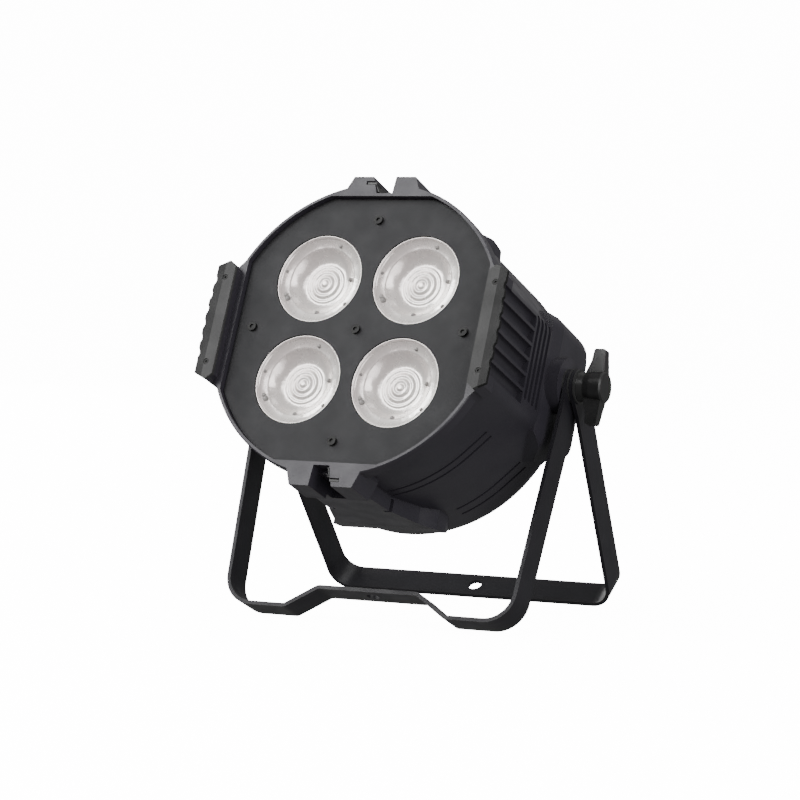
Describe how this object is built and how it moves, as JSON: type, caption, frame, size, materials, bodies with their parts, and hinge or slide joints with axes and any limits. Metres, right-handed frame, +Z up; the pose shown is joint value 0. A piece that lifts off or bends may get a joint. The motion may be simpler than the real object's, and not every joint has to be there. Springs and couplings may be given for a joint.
{
  "type": "par can light",
  "caption": "Short floor and truss lamp: round black barrel with lensed lamps behind a flat face plate, carried between the arms of a folding double yoke.",
  "frame": {"origin": "on the floor, under the middle of the lamp's bounding box", "axes": "+Z up, -Y the way the lamp faces, +X along the clamp bolts"},
  "size_m": [0.311, 0.2698, 0.3315],
  "materials": {
    "cast_body": "satin black powder coat on a die casting",
    "face_plate": "matte dark grey coating",
    "bar_metal": "matte grey-black coating",
    "yoke_steel": "satin black powder coat",
    "knob_plastic": "moulded, satin",
    "washer_plastic": "smooth",
    "lens_clear": "clear moulded optic, treated as glass",
    "holder_plastic": "bright moulded reflector cup",
    "led_module": "white board with a yellow emitter",
    "gasket_rubber": "soft black foam rubber",
    "bare_aluminium": "mill finish",
    "plated_steel": "zinc plated",
    "dark_steel": "black coated wire and sheet",
    "dark_screw": "black oxide",
    "black_plastic": "moulded",
    "circuit_board": "green board with parts",
    "panel_plastic": "smooth moulded",
    "display_glass": "smoked red window",
    "button_rubber": "soft grey",
    "connector_metal": "black cast zinc shell",
    "fuse_glass": "glass tube with plated ends"
  },
  "bodies": {
    "front_yoke": {"front_bracket": "yoke_steel", "bracket_washers": "washer_plastic"},
    "rear_yoke": {"rear_bracket": "yoke_steel", "knob_washers": "washer_plastic"},
    "head": {"front_housing": "cast_body", "rear_housing": "cast_body", "face_plate": "face_plate", "face_plate_screws": "dark_screw", "plate_standoffs": "plated_steel", "lens_gaskets": "gasket_rubber", "led_carrier_plate": "bare_aluminium", "heat_sink": "bare_aluminium", "inner_screws": "plated_steel", "chassis_standoffs": "plated_steel", "chassis_plate": "plated_steel", "fan_frame": "black_plastic", "fan_guard": "dark_steel", "power_supply_case": "plated_steel", "power_supply_board": "circuit_board", "led_driver_board": "circuit_board", "control_panel": "panel_plastic", "display_window": "display_glass", "control_board": "circuit_board", "signal_inlet": "connector_metal", "signal_outlet": "connector_metal", "mains_inlet": "black_plastic", "mains_outlet": "black_plastic", "fuse_holder": "black_plastic", "fuse": "fuse_glass", "safety_eye": "plated_steel", "rear_screws": "dark_screw", "accessory_bar_left": "bar_metal", "accessory_bar_right": "bar_metal", "accessory_bar_screws": "dark_screw", "frame_clips": "dark_steel", "pivot_inserts": "plated_steel", "boss_washers": "washer_plastic", "lens_top_left": "lens_clear", "lens_holder_top_left": "holder_plastic", "led_module_top_left": "led_module", "lens_top_right": "lens_clear", "lens_holder_top_right": "holder_plastic", "led_module_top_right": "led_module", "lens_bottom_left": "lens_clear", "lens_holder_bottom_left": "holder_plastic", "led_module_bottom_left": "led_module", "lens_bottom_right": "lens_clear", "lens_holder_bottom_right": "holder_plastic", "led_module_bottom_right": "led_module"},
    "left_knob": {"knob_left": "knob_plastic", "knob_stud_left": "plated_steel"},
    "right_knob": {"knob_right": "knob_plastic", "knob_stud_right": "plated_steel"},
    "fan": {"fan_rotor": "black_plastic"},
    "fuse_drawer": {"fuse_cap": "black_plastic"},
    "latch": {"outlet_latch": "plated_steel"},
    "key_menu": {"button_menu": "button_rubber"},
    "key_down": {"button_down": "button_rubber"},
    "key_up": {"button_up": "button_rubber"},
    "key_enter": {"button_enter": "button_rubber"}
  },
  "joints": [
    {"name": "head_tilt", "type": "hinge", "parent": "front_yoke", "child": "head", "pos_m": [0, 0.01942, 0.177], "axis": [-1, 0, 0], "range_deg": [-60, 150]},
    {"name": "rear_bracket_fold", "type": "hinge", "parent": "front_yoke", "child": "rear_yoke", "pos_m": [0, 0.01942, 0.177], "axis": [1, 0, 0], "range_deg": [-55, 120]},
    {"name": "left_knob_turn", "type": "hinge", "parent": "head", "child": "left_knob", "pos_m": [0, 0.01942, 0.177], "axis": [-1, 0, 0], "range_deg": [0, 360]},
    {"name": "right_knob_turn", "type": "hinge", "parent": "head", "child": "right_knob", "pos_m": [0, 0.01942, 0.177], "axis": [1, 0, 0], "range_deg": [0, 360]},
    {"name": "fan_spin", "type": "hinge", "parent": "head", "child": "fan", "pos_m": [0, 0.01506, 0.18775], "axis": [0, 0.9114, -0.4115], "continuous": true},
    {"name": "fuse_cap_turn", "type": "hinge", "parent": "head", "child": "fuse_drawer", "pos_m": [0, 0.04961, 0.12332], "axis": [0, 0.9114, -0.4115], "range_deg": [0, 90]},
    {"name": "latch_push", "type": "slide", "parent": "head", "child": "latch", "axis": [0, -0.9114, 0.4115], "range_m": [0, 0.0015], "stiffness_N_per_m": 400, "springref_m": -0.003},
    {"name": "menu_press", "type": "slide", "parent": "head", "child": "key_menu", "axis": [0, -0.9114, 0.4115], "range_m": [0, 0.0012], "stiffness_N_per_m": 500, "springref_m": -0.001},
    {"name": "down_press", "type": "slide", "parent": "head", "child": "key_down", "axis": [0, -0.9114, 0.4115], "range_m": [0, 0.0012], "stiffness_N_per_m": 500, "springref_m": -0.001},
    {"name": "up_press", "type": "slide", "parent": "head", "child": "key_up", "axis": [0, -0.9114, 0.4115], "range_m": [0, 0.0012], "stiffness_N_per_m": 500, "springref_m": -0.001},
    {"name": "enter_press", "type": "slide", "parent": "head", "child": "key_enter", "axis": [0, -0.9114, 0.4115], "range_m": [0, 0.0012], "stiffness_N_per_m": 500, "springref_m": -0.001}
  ]
}
